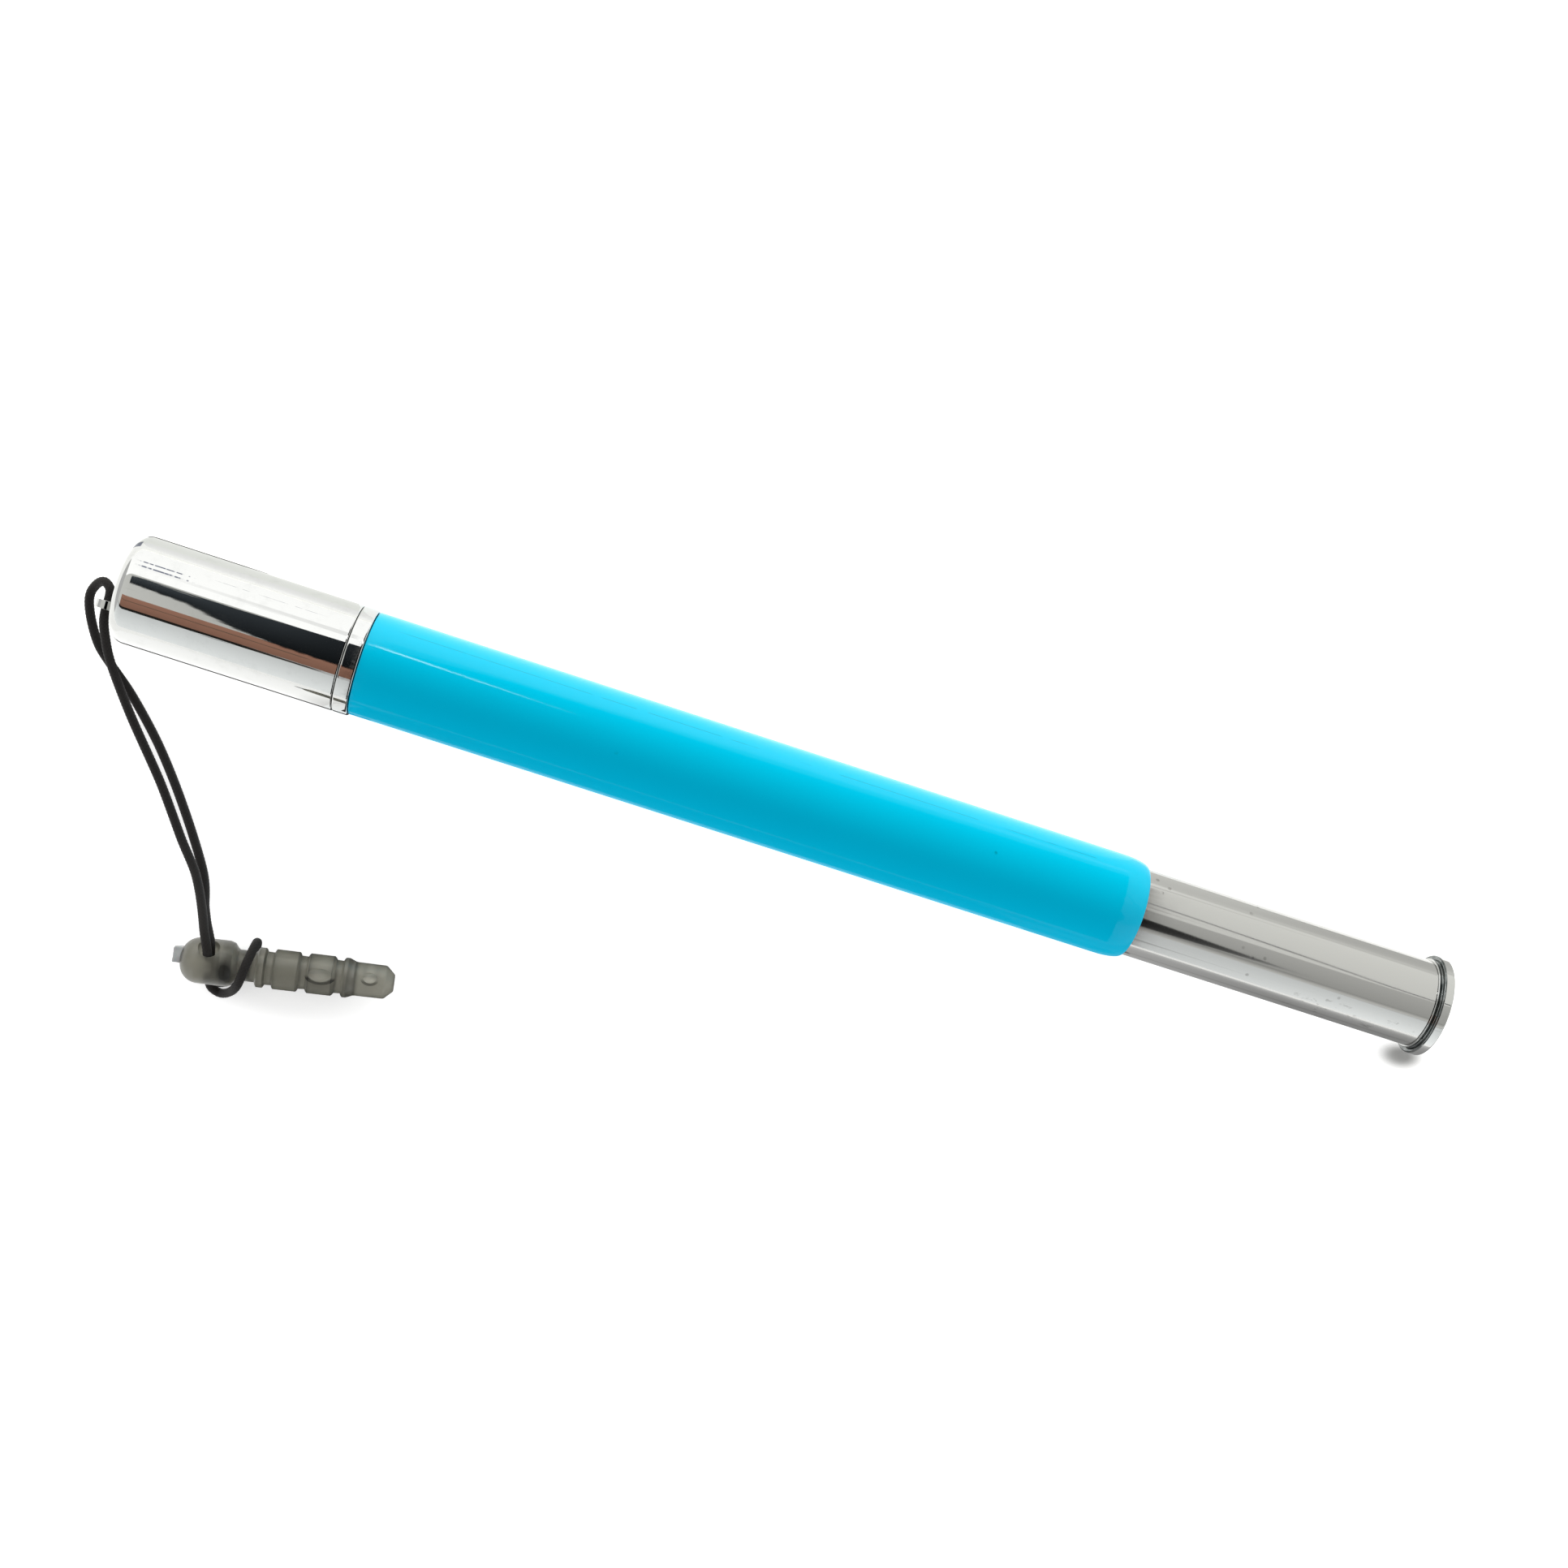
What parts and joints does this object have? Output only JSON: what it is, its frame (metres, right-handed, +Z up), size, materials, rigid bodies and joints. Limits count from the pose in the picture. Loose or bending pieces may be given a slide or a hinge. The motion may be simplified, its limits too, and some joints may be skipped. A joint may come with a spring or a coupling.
{
  "type": "telescopic touch-screen stylus",
  "caption": "Telescopic touch-screen stylus with a blue barrel, sliding chrome tube, pull-off chrome cap, and a black cord loop holding a smoke-grey earphone-socket plug.",
  "frame": {"origin": "on the surface that the pen lies on, under the middle of the pen's box with its tube pulled out; the cord and the socket plug aren't counted", "axes": "+X along the pen's axis from the cap to the tube's end plug, +Z up from the surface, the cord and socket plug lie on the -Y side"},
  "size_m": [0.1209, 0.0356, 0.0093],
  "materials": {
    "blue_paint": "gloss",
    "chrome": "mirror",
    "nickel": "satin",
    "brass": "satin",
    "nylon": "matte",
    "rubber": "matte",
    "cord_braid": "braided",
    "smoke_plastic": "translucent"
  },
  "bodies": {
    "barrel": {"barrel_shell": "blue_paint", "trim_ring": "chrome", "cap_spigot": "nickel", "tip_ferrule": "chrome", "tip_core": "nylon", "rubber_tip": "rubber"},
    "grip_ring": {"grip_o_ring": "rubber"},
    "cap": {"cap_shell": "chrome", "cap_liner": "nylon", "eyelet": "chrome", "eyelet_washer": "brass", "cord": "cord_braid", "dust_plug": "smoke_plastic"},
    "slide_bush": {"friction_sleeve": "nylon", "spring_strip_1": "brass", "spring_strip_2": "brass"},
    "tube": {"inner_tube": "nickel", "end_plug": "chrome", "tail_plug": "brass", "retaining_clip": "nickel"}
  },
  "joints": [
    {"name": "cap_turn", "type": "hinge", "parent": "barrel", "child": "grip_ring", "pos_m": [-0.0419, 0, 0.00463], "axis": [1, 0, 0], "continuous": true},
    {"name": "cap_pull", "type": "slide", "parent": "grip_ring", "child": "cap", "axis": [-1, 0, 0], "range_m": [0, 0.02]},
    {"name": "tube_slide", "type": "slide", "parent": "barrel", "child": "slide_bush", "axis": [1, 0, 0], "range_m": [-0.0268, 0]},
    {"name": "tube_twist", "type": "hinge", "parent": "slide_bush", "child": "tube", "pos_m": [0.026, 0, 0.00463], "axis": [1, 0, 0], "continuous": true}
  ]
}
